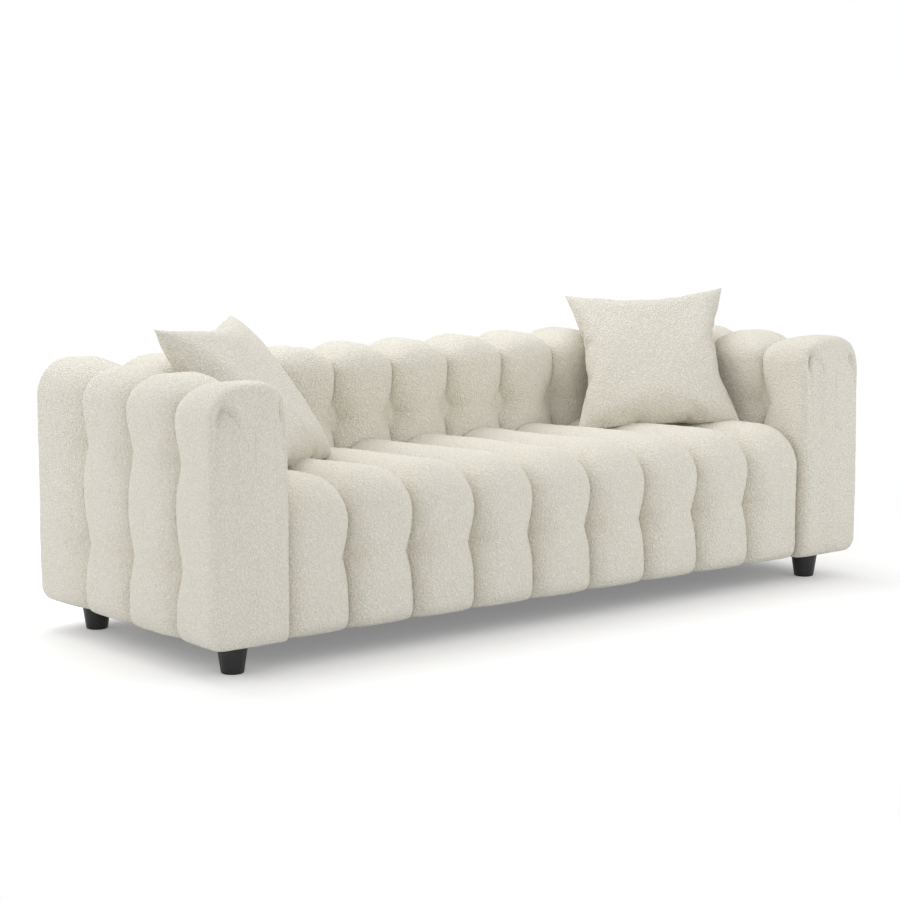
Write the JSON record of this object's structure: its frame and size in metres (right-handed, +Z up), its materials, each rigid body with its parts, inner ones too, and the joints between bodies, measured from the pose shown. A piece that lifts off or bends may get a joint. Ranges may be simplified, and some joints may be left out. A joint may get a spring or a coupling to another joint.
{
  "type": "tuxedo sofa",
  "caption": "Low tuxedo sofa with arms as high as the back, stuffed channel upholstery drawn in by tufts, short tapered feet and loose knife-edge throw pillows.",
  "frame": {"origin": "on the floor under the middle of the sofa, centred between the arms' outer faces and between the front and the rear", "axes": "+X along the sofa towards the arm on the right of someone facing it, +Y from the front to the rear, +Z up"},
  "size_m": [2.17, 0.85, 0.8074],
  "materials": {
    "boucle": "cream looped boucle, matt, soft nap",
    "pillow_boucle": "cream looped boucle, matt, soft nap",
    "filling": "white fibre filling in a plain cotton case",
    "foam": "cut polyurethane foam, pale yellow",
    "foot_plastic": "black moulded plastic, low gloss",
    "spring_steel": "dark drawn spring wire",
    "zinc_steel": "bright zinc plated steel",
    "fibreboard": "smooth brown hardboard",
    "dust_cloth": "black non-woven dust cloth",
    "webbing": "elastic jute-coloured webbing",
    "pine": "sawn softwood, unfinished"
  },
  "bodies": {
    "sofa": {"arm_lining_boards": "fibreboard", "back_channel_1": "boucle", "back_channel_2": "boucle", "back_channel_3": "boucle", "back_channel_4": "boucle", "back_channel_5": "boucle", "back_channel_6": "boucle", "back_channel_7": "boucle", "back_channel_8": "boucle", "back_channel_9": "boucle", "back_foam": "foam", "back_frame": "pine", "back_rear_board": "fibreboard", "back_straps": "webbing", "dust_covers": "dust_cloth", "foot_bolts": "zinc_steel", "foot_tee_nuts": "zinc_steel", "frame_bolts": "zinc_steel", "joining_blocks": "pine", "left_arm_channel_1": "boucle", "left_arm_channel_2": "boucle", "left_arm_channel_3": "boucle", "left_arm_channel_4": "boucle", "left_arm_foam": "foam", "left_arm_frame": "pine", "left_arm_front_panel": "boucle", "left_arm_rear_panel": "boucle", "left_front_foot": "foot_plastic", "left_rear_foot": "foot_plastic", "right_arm_channel_1": "boucle", "right_arm_channel_2": "boucle", "right_arm_channel_3": "boucle", "right_arm_channel_4": "boucle", "right_arm_foam": "foam", "right_arm_frame": "pine", "right_arm_front_panel": "boucle", "right_arm_rear_panel": "boucle", "right_front_foot": "foot_plastic", "right_rear_foot": "foot_plastic", "seat_channel_1": "boucle", "seat_channel_2": "boucle", "seat_channel_3": "boucle", "seat_channel_4": "boucle", "seat_channel_5": "boucle", "seat_channel_6": "boucle", "seat_channel_7": "boucle", "seat_channel_8": "boucle", "seat_channel_9": "boucle", "seat_corner_blocks": "pine", "seat_cross_rails": "pine", "seat_foam": "foam", "seat_front_rail": "pine", "seat_rear_rail": "pine", "seat_side_rails": "pine", "seat_springs": "spring_steel", "spring_clips": "zinc_steel"},
    "left_pillow": {"left_pillow_cover": "pillow_boucle", "left_pillow_insert": "filling"},
    "right_pillow": {"right_pillow_cover": "pillow_boucle", "right_pillow_insert": "filling"}
  },
  "joints": [
    {"name": "left_pillow_lift", "type": "slide", "parent": "sofa", "child": "left_pillow", "axis": [0, 0, 1], "range_m": [0, 0.3]},
    {"name": "right_pillow_lift", "type": "slide", "parent": "sofa", "child": "right_pillow", "axis": [0, 0, 1], "range_m": [0, 0.3]}
  ]
}
